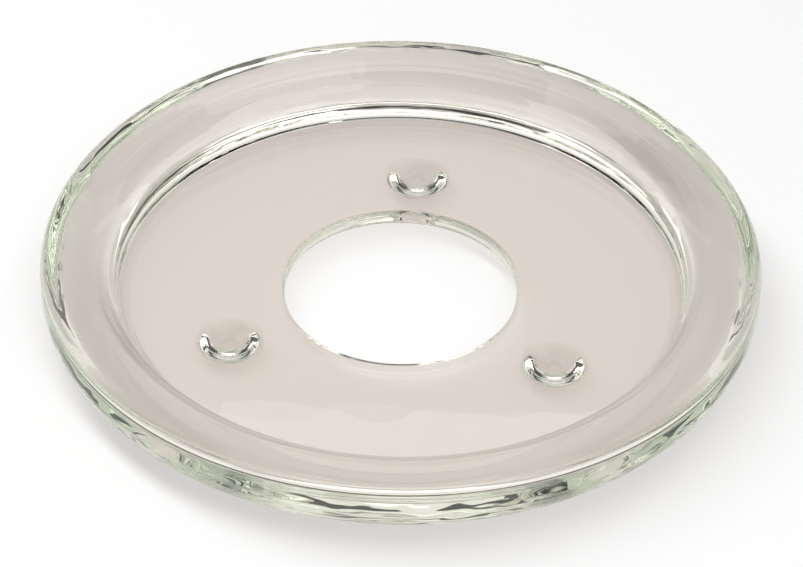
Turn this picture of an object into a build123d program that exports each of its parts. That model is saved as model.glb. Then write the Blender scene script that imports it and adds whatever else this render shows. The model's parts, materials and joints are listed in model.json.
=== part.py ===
from build123d import *
import math
import os

# Candle plate: a round pressed-glass plate with a sunk well and a centre hole,
# standing on three clear dome feet. Sizes are in millimetres and degrees.
# Z = 0 is the plane that the feet stand on, and +Z is the axis of the hole.

# Plate
plate_diameter = 136.0
hole_diameter = 44.0
floor_thickness = 3.1
rim_height = 8.6            # outer edge of the rim's top above the floor of the well, before rounding
rim_fall = 0.6              # the rim's top slopes down this much towards the well
well_diameter = 110.4       # across the well, where the rim's top would meet its wall
wall_draft = 13.0           # the well narrows towards its floor, so that it leaves the mould

# Rounded edges of the plate
rim_edge_radius = 2.4       # top of the outer edge
base_edge_radius = 7.5      # bottom of the outer edge
crest_radius = 5.5          # broad shoulder between the rim's top and the well's wall
well_fillet = 3.2           # between the well's wall and its floor
hole_edge_radius = 1.2      # fire-polished edges of the hole

# Feet
foot_circle_diameter = 70.4
foot_height = 3.6
foot_dome_diameter = 11.5   # where the dome would meet the flange
foot_flange_thickness = 0.15
foot_flare_radius = 1.0     # hollow curve from the dome out to the flange, which reaches out as far
foot_tip_diameter = 2.0     # small flat that the foot stands on
foot_names = ("foot_back", "foot_left", "foot_right")
first_foot_angle = 90.0     # the others follow at equal steps

# Levels that the plate and the feet share
underside_z = foot_height
floor_z = underside_z + floor_thickness
rim_z = floor_z + rim_height
crest_z = rim_z - rim_fall


def rounded_corner(section, corner, radius):
    """Round the corner of a flat section that is nearest to a point."""
    nearest = section.vertices().sort_by_distance(Vector(*corner))[0]
    return fillet(nearest, radius)


def glass_plate():
    """The plate: rim, well, floor and hole as one turned section."""
    outer_r = plate_diameter / 2
    hole_r = hole_diameter / 2
    crest_r = well_diameter / 2
    wall_foot_r = crest_r - (crest_z - floor_z) * math.tan(math.radians(wall_draft))
    shoulder_radius = min(crest_radius, outer_r - crest_r - rim_edge_radius)  # the rim may leave less room
    hole_bottom = (hole_r, 0, underside_z)
    base_corner = (outer_r, 0, underside_z)
    rim_corner = (outer_r, 0, rim_z)
    crest = (crest_r, 0, crest_z)
    wall_foot = (wall_foot_r, 0, floor_z)
    hole_top = (hole_r, 0, floor_z)
    corners = (hole_bottom, base_corner, rim_corner, crest, wall_foot, hole_top)
    section = make_face(Polyline(*corners, close=True))
    roundings = (
        (hole_bottom, hole_edge_radius),
        (hole_top, hole_edge_radius),
        (base_corner, base_edge_radius),
        (rim_corner, rim_edge_radius),
        (crest, shoulder_radius),
        (wall_foot, well_fillet),
    )
    for corner, radius in roundings:
        section = rounded_corner(section, corner, radius)
    return revolve(section, Axis.Z)


def dome_foot():
    """One foot on its own axis: flat tip, dome, hollow flare and thin flange."""
    tip_r = foot_tip_diameter / 2
    dome_r = foot_dome_diameter / 2
    flange_r = dome_r + foot_flare_radius
    flange_z = foot_height - foot_flange_thickness
    centre_z = (dome_r ** 2 + flange_z ** 2 - tip_r ** 2) / (2 * flange_z)
    ball_r = math.hypot(tip_r, centre_z)
    tip_angle = math.atan2(tip_r, centre_z)
    root_angle = math.atan2(dome_r, centre_z - flange_z)
    middle_angle = (tip_angle + root_angle) / 2
    tip = (tip_r, 0, 0)
    middle = (ball_r * math.sin(middle_angle), 0, centre_z - ball_r * math.cos(middle_angle))
    root = (dome_r, 0, flange_z)
    flange_edge = (flange_r, 0, flange_z)
    seat_edge = (flange_r, 0, foot_height)
    seat_middle = (0, 0, foot_height)
    tip_middle = (0, 0, 0)
    sides = Polyline(root, flange_edge, seat_edge, seat_middle, tip_middle, tip)
    section = make_face([ThreePointArc(tip, middle, root), sides])
    section = rounded_corner(section, root, foot_flare_radius)
    return revolve(section, Axis.Z)


def seated(foot, angle):
    """A copy of the foot under the floor, on the foot circle."""
    reach = foot_circle_diameter / 2
    x = reach * math.cos(math.radians(angle))
    y = reach * math.sin(math.radians(angle))
    return Pos(x, y, 0) * foot


os.makedirs("parts", exist_ok=True)
export_step(glass_plate(), "parts/glass_plate.step")
foot = dome_foot()
for place, name in enumerate(foot_names):
    angle = first_foot_angle + place * 360 / len(foot_names)
    export_step(seated(foot, angle), f"parts/{name}.step")
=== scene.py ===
import json
import math

import bmesh
import bpy
from mathutils import Matrix, Vector


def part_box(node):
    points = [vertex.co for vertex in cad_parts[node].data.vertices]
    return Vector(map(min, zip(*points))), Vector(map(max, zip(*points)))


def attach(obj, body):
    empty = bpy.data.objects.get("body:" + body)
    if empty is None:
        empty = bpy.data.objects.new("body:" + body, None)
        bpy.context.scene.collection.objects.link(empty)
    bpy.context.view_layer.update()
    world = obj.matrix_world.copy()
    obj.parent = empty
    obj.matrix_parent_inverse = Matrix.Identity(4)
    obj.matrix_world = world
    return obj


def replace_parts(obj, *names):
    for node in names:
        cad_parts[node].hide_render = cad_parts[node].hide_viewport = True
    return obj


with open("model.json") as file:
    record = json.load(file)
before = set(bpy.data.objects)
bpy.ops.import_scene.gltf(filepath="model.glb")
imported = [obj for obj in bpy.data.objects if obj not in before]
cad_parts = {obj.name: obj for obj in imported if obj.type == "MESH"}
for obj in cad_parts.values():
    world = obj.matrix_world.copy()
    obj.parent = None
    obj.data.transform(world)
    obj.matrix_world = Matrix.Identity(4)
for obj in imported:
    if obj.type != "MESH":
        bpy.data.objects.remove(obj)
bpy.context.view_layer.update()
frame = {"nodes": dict(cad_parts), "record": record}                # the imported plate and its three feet
print("frame loaded:", ", ".join(sorted(frame["nodes"])))

mm = 0.001                       # the scene is in metres, sizes in the dictionaries are millimetres
samePlace = 0.01 * mm            # points nearer than this are taken for the same place
mergeReach = 0.002 * mm          # points nearer than this are merged
cutReach = 0.0001 * mm           # points nearer than this to a cut lie on it
mounts = {mount["name"]: mount for mount in frame["record"]["mounts"]}
holeRadius = mounts["centre_hole"]["dims"]["r_mm"] * mm
plateLow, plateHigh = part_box("glass_plate")
undersideZ = plateLow.z
floorZ = mounts["well_floor"]["pos_m"][2]
footNames = ("foot_back", "foot_left", "foot_right")


# small helpers for modelling by hand

def linearColour(hexCode):
    channels = [int(hexCode[i:i + 2], 16) / 255 for i in (1, 3, 5)]
    return tuple(c / 12.92 if c <= 0.04045 else ((c + 0.055) / 1.055) ** 2.4 for c in channels) + (1.0,)


def addNode(tree, kind, settings=None, links=None):
    node = tree.nodes.new(kind)
    for name, value in (settings or {}).items():
        if isinstance(name, str) and hasattr(node, name):
            setattr(node, name, value)
        else:
            node.inputs[name].default_value = value
    for name, source in (links or {}).items():
        tree.links.new(source, node.inputs[name])
    return node


def select(piece, kind, test):
    # in edit mode, takes just those "verts", "edges" or "faces" that pass the test
    mesh = bmesh.from_edit_mesh(piece.data)
    bpy.ops.mesh.select_all(action="DESELECT")
    bpy.ops.mesh.select_mode(type={"verts": "VERT", "edges": "EDGE", "faces": "FACE"}[kind])
    for part in getattr(mesh, kind):
        part.select_set(bool(test(part)))
    mesh.select_flush_mode()
    bmesh.update_edit_mesh(piece.data)


def applyModifier(piece, name, kind, **settings):
    modifier = piece.modifiers.new(name, kind)
    for key, value in settings.items():
        setattr(modifier, key, value)
    bpy.ops.object.select_all(action="DESELECT")
    piece.select_set(True)
    bpy.context.view_layer.objects.active = piece
    bpy.ops.object.modifier_apply(modifier=name)


def smoothStep(low, high, value):
    t = min(max((value - low) / (high - low), 0.0), 1.0)
    return t * t * (3 - 2 * t)


# the plate: one section, rounded at its corners and spun about the axis of the hole

plateSetup = {
    "rimFall": 0.6,              # the rim's top slopes down towards the well
    "rimHeight": 8.6,            # above the floor of the well, before its edge is rounded
    "wellRadius": 55.2,
    "wallDraft": 13.0,           # degrees
    "rimEdgeRadius": 2.4,
    "baseEdgeRadius": 7.5,
    "crestRadius": 5.5,
    "wellFillet": 3.2,
    "holeEdgeRadius": 1.2,
    "roundSegments": 14,
    "baseSegments": 24,          # enough to carry the ripples of the side
    "longestStep": 1.6,          # straight stretches of the section are divided to this
    "halvings": 5,               # which reach that step on the widest stretch
    "turns": 512,                # steps round the axis
    "sideRipple": 0.08,          # depth of the ripples left in the side by the mould
    "sideRippleLength": 6.0,
    "sideRippleHeight": 1.2,
    "rippleStart": 6.0,          # the ripples begin this far out from the well
    "rippleGrowth": 4.0,         # and are full this much further out
    "rippleEnd": 1.5,            # they end this far below the rim's top
    "rippleFade": 2.0,           # and are full this much lower
    "floorWave": 0.03,           # depth of the long waves in the floor of the well
    "floorWaveLength": 30.0,
    "waveHoleGap": 2.0,          # even glass round the hole
    "waveWellGap": 3.0,          # and inside the edge of the well
    "waveFade": 6.0,             # the waves are full this far from the even glass
    "normalWeight": 80,          # above 50, large faces lead the shading of the roundings
}


def plateCorners(setup):
    outer = plateHigh.x - setup["sideRipple"] * mm
    rimZ = floorZ + setup["rimHeight"] * mm
    crestZ = rimZ - setup["rimFall"] * mm
    well = setup["wellRadius"] * mm
    wallFoot = well - (crestZ - floorZ) * math.tan(math.radians(setup["wallDraft"]))
    return (
        (Vector((holeRadius, 0, undersideZ)), setup["holeEdgeRadius"] * mm, setup["roundSegments"]),
        (Vector((outer, 0, undersideZ)), setup["baseEdgeRadius"] * mm, setup["baseSegments"]),
        (Vector((outer, 0, rimZ)), setup["rimEdgeRadius"] * mm, setup["roundSegments"]),
        (Vector((well, 0, crestZ)), setup["crestRadius"] * mm, setup["roundSegments"]),
        (Vector((wallFoot, 0, floorZ)), setup["wellFillet"] * mm, setup["roundSegments"]),
        (Vector((holeRadius, 0, floorZ)), setup["holeEdgeRadius"] * mm, setup["roundSegments"]),
    )


def roundCorner(piece, corner, before, after, radius, segments):
    turn = (corner - before).angle(after - corner)
    select(piece, "verts", lambda v: (v.co - corner).length < samePlace)
    bpy.ops.mesh.bevel(offset=radius * math.tan(turn / 2), segments=segments, profile=0.5, affect="VERTICES")


def modelPlate(setup):
    corners = plateCorners(setup)
    places = [corner[0] for corner in corners]
    bpy.ops.object.select_all(action="DESELECT")
    bpy.ops.mesh.primitive_plane_add(size=mm)
    piece = bpy.context.object
    piece.name = "pressed_plate"
    bpy.ops.object.mode_set(mode="EDIT")
    bpy.ops.mesh.select_all(action="SELECT")
    bpy.ops.mesh.merge(type="CENTER")        # one point, led round the section
    bpy.ops.transform.translate(value=places[0])
    for here, there in zip(places, places[1:]):
        bpy.ops.mesh.extrude_region_move(TRANSFORM_OT_translate={"value": there - here})
    bpy.ops.mesh.select_all(action="SELECT")
    bpy.ops.mesh.edge_face_add()
    for i, (place, radius, segments) in enumerate(corners):
        roundCorner(piece, place, places[i - 1], places[(i + 1) % len(places)], radius, segments)
    bpy.ops.mesh.select_all(action="SELECT")
    bpy.ops.mesh.delete(type="ONLY_FACE")
    longest = setup["longestStep"] * mm
    for _ in range(setup["halvings"]):
        select(piece, "edges", lambda e: e.calc_length() > longest)
        bpy.ops.mesh.subdivide(number_cuts=1)
    bpy.ops.mesh.select_all(action="SELECT")
    bpy.ops.mesh.spin(steps=setup["turns"], angle=2 * math.pi, center=(0, 0, 0), axis=(0, 0, 1))
    bpy.ops.mesh.select_all(action="SELECT")
    bpy.ops.mesh.remove_doubles(threshold=mergeReach)
    bpy.ops.mesh.normals_make_consistent(inside=False)
    bpy.ops.object.mode_set(mode="OBJECT")
    bpy.ops.object.shade_smooth()
    return piece


def sideShare(place):
    # 1 on the outer side, 0 on the rim's top and inside it
    inner = (plateSetup["wellRadius"] + plateSetup["rippleStart"]) * mm
    top = plateHigh.z - plateSetup["rippleEnd"] * mm
    radius = math.hypot(place.x, place.y)
    outward = smoothStep(inner, inner + plateSetup["rippleGrowth"] * mm, radius)
    upward = smoothStep(top - plateSetup["rippleFade"] * mm, top, place.z)
    return outward * (1 - upward)


def floorShare(place):
    # 1 on the open floor of the well, 0 round the hole, at the well's edge and on all other faces
    if abs(place.z - floorZ) > samePlace:
        return 0.0
    fade = plateSetup["waveFade"] * mm
    inner = holeRadius + plateSetup["waveHoleGap"] * mm
    outer = (plateSetup["wellRadius"] - plateSetup["waveWellGap"]) * mm
    radius = math.hypot(place.x, place.y)
    return smoothStep(inner, inner + fade, radius) * (1 - smoothStep(outer - fade, outer, radius))


def addWaves(piece, name, weight, depth, length, height):
    # uneven skin of pressed glass: a cloud pattern, drawn out along the side, pushes the surface in and out
    group = piece.vertex_groups.new(name=name)
    for vertex in piece.data.vertices:
        share = weight(vertex.co)
        if share > 0:
            group.add([vertex.index], share, "REPLACE")
    clouds = bpy.data.textures.new(name, "CLOUDS")
    clouds.noise_scale = 1.0                 # the grid below gives the pattern its size
    clouds.noise_depth = 2
    grid = bpy.data.objects.new(name, None)
    grid.scale = (length * mm, length * mm, height * mm)
    bpy.context.scene.collection.objects.link(grid)
    bpy.context.view_layer.update()
    applyModifier(
        piece, name, "DISPLACE", texture=clouds, texture_coords="OBJECT", texture_coords_object=grid,
        vertex_group=name, strength=2 * depth * mm, mid_level=0.5,      # half of the strength each way
    )
    bpy.data.objects.remove(grid)
    piece.vertex_groups.clear()


plate = modelPlate(plateSetup)
addWaves(plate, "side_ripple", sideShare, plateSetup["sideRipple"], plateSetup["sideRippleLength"],
         plateSetup["sideRippleHeight"])
addWaves(plate, "floor_wave", floorShare, plateSetup["floorWave"], plateSetup["floorWaveLength"],
         plateSetup["floorWaveLength"])
applyModifier(plate, "even_normals", "WEIGHTED_NORMAL", weight=plateSetup["normalWeight"])
print("plate modelled:", len(plate.data.polygons), "faces")


# the feet: a ball cut at the tip and at its side, drawn out to a thin flange under the floor

footSetup = {
    "ballRadius": 5.9,
    "tipRadius": 1.0,            # the small flat that the foot stands on
    "sideSlope": 48.0,           # degrees, the steepest part of the dome
    "flareRadius": 1.8,          # hollow curve from the side out to the flange
    "flareSegments": 14,
    "flangeThickness": 0.04,
    "bondGap": 0.01,             # the film of bond between the flange and the plate
    "ballSegments": 128,
    "ballRings": 96,
    "smoothAngle": 8.0,          # degrees, edges sharper than this stay crisp
}


def footAxis(name):
    low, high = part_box(name)
    return Vector(((low.x + high.x) / 2, (low.y + high.y) / 2, 0))


def ballHeight(setup):
    # the ball's middle stands this far above the flat at its tip
    return math.sqrt((setup["ballRadius"] * mm) ** 2 - (setup["tipRadius"] * mm) ** 2)


def footSection(setup):
    # radius and height of each ring from the end of the ball out to the edge of the flange
    slope = math.radians(setup["sideSlope"])
    ballR = setup["ballRadius"] * mm
    flareR = setup["flareRadius"] * mm
    flangeZ = undersideZ - (setup["bondGap"] + setup["flangeThickness"]) * mm
    rings = [(ballR * math.sin(slope), ballHeight(setup) - ballR * math.cos(slope))]
    sideZ = flangeZ - flareR * (1 - math.cos(slope))
    sideR = rings[0][0] + (sideZ - rings[0][1]) / math.tan(slope)
    reach = sideR + flareR * math.sin(slope)
    for step in range(setup["flareSegments"] + 1):
        turn = slope * (1 - step / setup["flareSegments"])
        rings.append((reach - flareR * math.sin(turn), flangeZ - flareR * (1 - math.cos(turn))))
    return rings


def modelFoot(setup):
    # modelled on its own axis, so that the copies only have to be moved
    rings = footSection(setup)
    sideZ = rings[0][1]
    bpy.ops.object.select_all(action="DESELECT")
    bpy.ops.mesh.primitive_uv_sphere_add(
        segments=setup["ballSegments"], ring_count=setup["ballRings"],
        radius=setup["ballRadius"] * mm, location=(0, 0, ballHeight(setup)),
    )
    piece = bpy.context.object
    bpy.ops.object.transform_apply(location=True, rotation=True, scale=True)
    bpy.ops.object.mode_set(mode="EDIT")
    bpy.ops.mesh.select_all(action="SELECT")
    bpy.ops.mesh.bisect(
        plane_co=(0, 0, 0), plane_no=(0, 0, 1), use_fill=True, clear_inner=True, threshold=cutReach,
    )
    bpy.ops.mesh.select_all(action="SELECT")
    bpy.ops.mesh.bisect(plane_co=(0, 0, sideZ), plane_no=(0, 0, 1), clear_outer=True, threshold=cutReach)
    select(piece, "edges", lambda e: e.is_boundary)
    for (wasR, wasZ), (nextR, nextZ) in zip(rings, rings[1:]):
        bpy.ops.mesh.extrude_region_move(TRANSFORM_OT_translate={"value": (0, 0, nextZ - wasZ)})
        bpy.ops.transform.resize(value=(nextR / wasR, nextR / wasR, 1), center_override=(0, 0, nextZ))
    bpy.ops.mesh.extrude_region_move(TRANSFORM_OT_translate={"value": (0, 0, setup["flangeThickness"] * mm)})
    bpy.ops.mesh.edge_face_add()
    bpy.ops.mesh.select_all(action="SELECT")
    bpy.ops.mesh.remove_doubles(threshold=mergeReach)
    bpy.ops.mesh.normals_make_consistent(inside=False)
    bpy.ops.object.mode_set(mode="OBJECT")
    bpy.ops.object.shade_smooth_by_angle(angle=math.radians(setup["smoothAngle"]))
    return piece


firstFoot = modelFoot(footSetup)
feet = {}
for name in footNames:
    foot = firstFoot.copy()
    foot.data = firstFoot.data.copy()
    foot.name = "dome_" + name
    bpy.context.scene.collection.objects.link(foot)
    foot.data.transform(Matrix.Translation(footAxis(name)))
    feet[name] = foot
bpy.data.objects.remove(firstFoot)
print("feet modelled:", ", ".join(piece.name for piece in feet.values()))


# glass

glassSetup = {
    "index": 1.52,               # soda-lime glass
    "tint": "#ebe4dd",           # what each surface lets through
    "shadowFace": "#f2ede9",     # light from the lamps, square through a surface
    "shadowEdge": "#b3aca6",     # the same at a glancing angle, where real glass turns it aside
    "shadowDeep": "#b8b1ab",     # painted shadow, deeper through the rim and the feet, set by place where real glass turns more of the light aside
    "glancingBlend": 0.5,        # even change from square to glancing
    "rimFadeStart": 1.0,         # the rim's painted shadow begins this far inside the edge of the well
    "rimFadeEnd": 6.0,           # and is full this far outside it
    "footFade": 2.0,             # a foot's painted shadow is full this far under the plate
    "footShade": 0.2,            # and has this share of the rim's
    "depthColour": "#abd2a1",    # iron in the glass shows green where it is deep
    "depthDensity": 5.0,         # per metre
    "bondBand": 0.1,             # a bonded disc of the plate is found up to this height
    "bondShare": 0.3,            # a foot's flat top is found down to this share of its flange
}


def mixColours(tree, share, first, second):
    # sockets 6 and 7 of a colour mix are its colours, and output 2 is what comes of them
    mixed = addNode(tree, "ShaderNodeMix", {"data_type": "RGBA"}, {0: share})
    for socket, colour in ((6, first), (7, second)):
        if isinstance(colour, tuple):
            mixed.inputs[socket].default_value = colour
        else:
            tree.links.new(colour, mixed.inputs[socket])
    return mixed.outputs[2]


def pressedGlass(name, setup, bond, shadowShare):
    # soda-lime glass, pressed and fire-polished: clear and even from above,
    # green and rippled through its edge
    material = bpy.data.materials.new(name)
    material.use_nodes = True
    tree = material.node_tree
    tree.nodes.clear()
    place = addNode(tree, "ShaderNodeTexCoord").outputs["Object"]
    mask = bond(tree, place)                 # bonded faces neither tint nor bend the light
    colour = mixColours(tree, mask, linearColour(setup["tint"]), (1, 1, 1, 1))
    index = addNode(tree, "ShaderNodeMapRange", {"To Min": setup["index"], "To Max": 1.0}, {"Value": mask})
    glass = addNode(tree, "ShaderNodeBsdfPrincipled", {
        "Roughness": 0.0,
        "Transmission Weight": 1.0,
    }, {"Base Color": colour, "IOR": index.outputs["Result"]})
    faceShade = linearColour(setup["shadowFace"])
    paintedDeepShade = linearColour(setup["shadowDeep"])
    edgeShade = linearColour(setup["shadowEdge"])
    glancing = addNode(tree, "ShaderNodeLayerWeight", {"Blend": setup["glancingBlend"]})
    # the lamps' light through the glass gets a painted shadow, deeper by place over the rim and the feet,
    # and darker at a glancing angle
    shade = mixColours(tree, shadowShare(tree, place), faceShade, paintedDeepShade)
    shade = mixColours(tree, glancing.outputs["Facing"], shade, edgeShade)
    clear = addNode(tree, "ShaderNodeBsdfTransparent", links={"Color": shade})
    rays = addNode(tree, "ShaderNodeLightPath")
    lampSide = addNode(tree, "ShaderNodeMixShader", links={
        0: rays.outputs["Is Shadow Ray"],
        1: glass.outputs[0],
        2: clear.outputs[0],
    })
    bounceSide = addNode(tree, "ShaderNodeMixShader", links={
        0: rays.outputs["Is Diffuse Ray"],
        1: lampSide.outputs[0],
        2: clear.outputs[0],
    })
    depth = addNode(tree, "ShaderNodeVolumeAbsorption", {
        "Color": linearColour(setup["depthColour"]),
        "Density": setup["depthDensity"],
    })
    addNode(tree, "ShaderNodeOutputMaterial", links={
        "Surface": bounceSide.outputs[0],
        "Volume": depth.outputs[0],
    })
    return material


def plateShadowShare(tree, place):
    # share of the deeper painted shadow: 0 over the floor of the well, 1 over the rim
    well = plateSetup["wellRadius"] * mm
    flat = addNode(tree, "ShaderNodeVectorMath", {"operation": "MULTIPLY", 1: (1, 1, 0)}, {0: place})
    radius = addNode(tree, "ShaderNodeVectorMath", {"operation": "LENGTH"}, {0: flat.outputs[0]})
    share = addNode(tree, "ShaderNodeMapRange", {
        "interpolation_type": "SMOOTHSTEP",
        "From Min": well - glassSetup["rimFadeStart"] * mm,
        "From Max": well + glassSetup["rimFadeEnd"] * mm,
    }, {"Value": radius.outputs["Value"]})
    return share.outputs["Result"]


def footShadowShare(tree, place):
    # share of the deeper painted shadow: 0 at the flange, footShade well down the dome
    height = addNode(tree, "ShaderNodeSeparateXYZ", links={0: place})
    share = addNode(tree, "ShaderNodeMapRange", {
        "interpolation_type": "SMOOTHSTEP",
        "From Min": undersideZ,
        "From Max": undersideZ - glassSetup["footFade"] * mm,
        "To Max": glassSetup["footShade"],
    }, {"Value": height.outputs["Z"]})
    return share.outputs["Result"]


def plateBond(tree, place):
    # 1 on the three discs of the underside that the feet are bonded to
    reach = footSection(footSetup)[-1][0]
    shares = []
    for name in footNames:
        middle = footAxis(name) + Vector((0, 0, undersideZ))
        gap = addNode(tree, "ShaderNodeVectorMath", {"operation": "DISTANCE", 1: middle}, {0: place})
        away = gap.outputs["Value"]
        near = addNode(tree, "ShaderNodeMath", {"operation": "LESS_THAN", 1: reach}, {0: away})
        shares.append(near.outputs[0])
    discs = shares[0]
    for share in shares[1:]:
        discs = addNode(tree, "ShaderNodeMath", {"operation": "ADD"}, {0: discs, 1: share}).outputs[0]
    height = addNode(tree, "ShaderNodeSeparateXYZ", links={0: place})
    band = undersideZ + glassSetup["bondBand"] * mm
    low = addNode(tree, "ShaderNodeMath", {"operation": "LESS_THAN", 1: band}, {0: height.outputs["Z"]})
    bonded = addNode(tree, "ShaderNodeMath", {"operation": "MULTIPLY"}, {0: discs, 1: low.outputs[0]})
    return bonded.outputs[0]


def footBond(tree, place):
    # 1 on the flat top of a foot
    height = addNode(tree, "ShaderNodeSeparateXYZ", links={0: place})
    top = undersideZ - (footSetup["bondGap"] + glassSetup["bondShare"] * footSetup["flangeThickness"]) * mm
    bonded = addNode(tree, "ShaderNodeMath", {"operation": "GREATER_THAN", 1: top}, {0: height.outputs["Z"]})
    return bonded.outputs[0]


plate.data.materials.clear()
plate.data.materials.append(pressedGlass("pressed_soda_lime_glass", glassSetup, plateBond, plateShadowShare))
footGlass = pressedGlass("fire_polished_foot_glass", glassSetup, footBond, footShadowShare)
for piece in feet.values():
    piece.data.materials.clear()
    piece.data.materials.append(footGlass)
print("glass made")


# what stands for what, and what it rides on

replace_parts(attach(plate, "root"), "glass_plate")
for name, piece in feet.items():
    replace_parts(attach(piece, "root"), name)


# pale floor and soft studio light

stageSetup = {
    "floorColour": "#f4f3f2",
    "floorGlow": 0.5,            # share of plain white, which keeps the paper white and its shadow soft
    "floorSize": 8.0,            # metres
    "ambient": 0.15,             # even light on the paper
}


def paperFloor(setup):
    # white paper, uncoated and matt: even and without shine, so that only a soft shadow shows on it
    bpy.ops.object.select_all(action="DESELECT")
    bpy.ops.mesh.primitive_plane_add(size=setup["floorSize"], location=(0, 0, 0))
    paper = bpy.context.object
    paper.name = "paper_floor"
    material = bpy.data.materials.new("white_paper")
    material.use_nodes = True
    tree = material.node_tree
    tree.nodes.clear()
    matt = addNode(tree, "ShaderNodeBsdfDiffuse", {"Color": linearColour(setup["floorColour"])})
    glow = addNode(tree, "ShaderNodeEmission", {"Strength": 1.0})
    mixed = addNode(tree, "ShaderNodeMixShader", {0: setup["floorGlow"]}, {
        1: matt.outputs[0],
        2: glow.outputs[0],
    })
    addNode(tree, "ShaderNodeOutputMaterial", links={"Surface": mixed.outputs[0]})
    paper.data.materials.append(material)


def studioWorld(setup):
    # white to the camera and in the glass, dim to the paper, which the lamps light
    world = bpy.data.worlds.new("studio")
    bpy.context.scene.world = world
    world.use_nodes = True
    tree = world.node_tree
    tree.nodes.clear()
    even = addNode(tree, "ShaderNodeBackground", {"Strength": setup["ambient"]})
    white = addNode(tree, "ShaderNodeBackground", {"Strength": 1.0})
    rays = addNode(tree, "ShaderNodeLightPath")
    seen = addNode(tree, "ShaderNodeMixShader", links={
        0: rays.outputs["Is Diffuse Ray"],
        1: white.outputs[0],
        2: even.outputs[0],
    })
    addNode(tree, "ShaderNodeOutputWorld", links={"Surface": seen.outputs[0]})


lampSetup = {                    # metres, degrees and watts
    "overhead": {                # a long strip, which leaves the rim's shadow darkest across its length
        "place": (-0.18, -0.13, 0.8),
        "aim": (-0.18, -0.13, 0),
        "size": (2.2, 0.25),
        "turn": -45,
        "power": 13.0,
    },
    "key": {
        "place": (0.7, 0.8, 1.1),
        "aim": (0, 0, 0),
        "size": (0.3, 0.3),
        "turn": 0,
        "power": 2.0,
    },
}

# cards that only the glass sees: degrees clockwise from behind the plate, degrees up,
# degrees wide, degrees high, and glow
cardDistance = 2.0               # metres
cardSetup = {
    "ceiling": (180, 70, 100, 44, 0.0),
    "skylight": (-4, 75, 26, 20, 2.2),
    "right_flag": (72, 40, 48, 52, 0.0),
    "right_light": (128, 35, 56, 30, 2.0),
    "camera_side": (178, 39, 30, 9, 0.1),
    "tent_gap": (210, 37, 26, 22, 0.05),
    "left_light": (247, 35, 48, 30, 2.0),
    "left_flag": (286, 47, 38, 34, 0.0),
    "far_light": (0, 34, 60, 20, 1.1),
    "window": (-5, 48.6, 8, 13, 1.8),
    "far_flag": (0, 14, 26, 20, 0.08),
    "right_strip": (112, 9, 60, 18, 1.7),
    "left_strip": (232, 9, 60, 18, 1.6),
}


def studioCard(name, azimuth, elevation, width, height, glow):
    bpy.ops.object.select_all(action="DESELECT")
    bpy.ops.mesh.primitive_plane_add(size=2)
    card = bpy.context.object
    card.name = name
    turn = math.radians(azimuth)
    up = math.radians(elevation)
    towards = Vector((math.cos(up) * math.sin(turn), math.cos(up) * math.cos(turn), math.sin(up)))
    halfWidth = cardDistance * math.tan(math.radians(width / 2))
    halfHeight = cardDistance * math.tan(math.radians(height / 2))
    card.scale = (halfWidth, halfHeight, 1)
    card.location = towards * cardDistance
    card.rotation_euler = (-towards).to_track_quat("Z", "Y").to_euler()
    material = bpy.data.materials.new(name)
    material.use_nodes = True
    tree = material.node_tree
    tree.nodes.clear()
    shine = addNode(tree, "ShaderNodeEmission", {"Strength": glow})
    addNode(tree, "ShaderNodeOutputMaterial", links={"Surface": shine.outputs[0]})
    card.data.materials.append(material)
    card.visible_camera = False
    card.visible_diffuse = False
    card.visible_shadow = False


def softbox(name, place, aim, size, turn, power):
    light = bpy.data.lights.new(name, "AREA")
    light.shape = "RECTANGLE"
    light.size, light.size_y = size
    light.energy = power
    lamp = bpy.data.objects.new(name, light)
    bpy.context.scene.collection.objects.link(lamp)
    lamp.location = place
    look = (Vector(aim) - Vector(place)).to_track_quat("-Z", "Y").to_matrix()
    lamp.rotation_euler = (look @ Matrix.Rotation(math.radians(turn), 3, "Z")).to_euler()
    lamp.visible_glossy = False              # the glass shows the cards and the room instead
    lamp.visible_transmission = False


paperFloor(stageSetup)
studioWorld(stageSetup)
for name, setup in lampSetup.items():
    softbox(name, **setup)
for name, setup in cardSetup.items():
    studioCard(name, *setup)
print("floor and light set")


# camera at the photograph's angle

cameraSetup = {
    "elevation": 39.68,          # degrees
    "azimuth": 4.85,
    "roll": 1.03,
    "distance": 845.0,
    "lens": 200.0,
    "sensor": 36.0,
    "image": (803, 567),         # pixels
    "aim": (400.6, 285.6),       # pixel that shows the middle of the well's floor
}
bounceSetup = {                  # light crosses many surfaces inside the rim
    "max_bounces": 64,
    "transmission_bounces": 64,
    "glossy_bounces": 64,
    "transparent_max_bounces": 16,
}


def placeCamera(setup):
    camera = bpy.data.cameras.new("camera")
    camera.lens = setup["lens"]
    camera.sensor_width = setup["sensor"]
    width, height = setup["image"]
    camera.shift_x = (width / 2 - setup["aim"][0]) / width
    camera.shift_y = (setup["aim"][1] - height / 2) / width
    eye = bpy.data.objects.new("camera", camera)
    bpy.context.scene.collection.objects.link(eye)
    up = math.radians(setup["elevation"])
    turn = math.radians(setup["azimuth"])
    back = Vector((math.cos(up) * math.sin(turn), -math.cos(up) * math.cos(turn), math.sin(up)))
    eye.location = Vector((0, 0, floorZ)) + back * setup["distance"] * mm
    look = (-back).to_track_quat("-Z", "Y").to_matrix()
    eye.rotation_euler = (look @ Matrix.Rotation(math.radians(setup["roll"]), 3, "Z")).to_euler()
    bpy.context.scene.camera = eye


placeCamera(cameraSetup)
scene = bpy.context.scene
scene.view_settings.view_transform = "Standard"
for name, count in bounceSetup.items():
    setattr(scene.cycles, name, count)
print("camera placed")
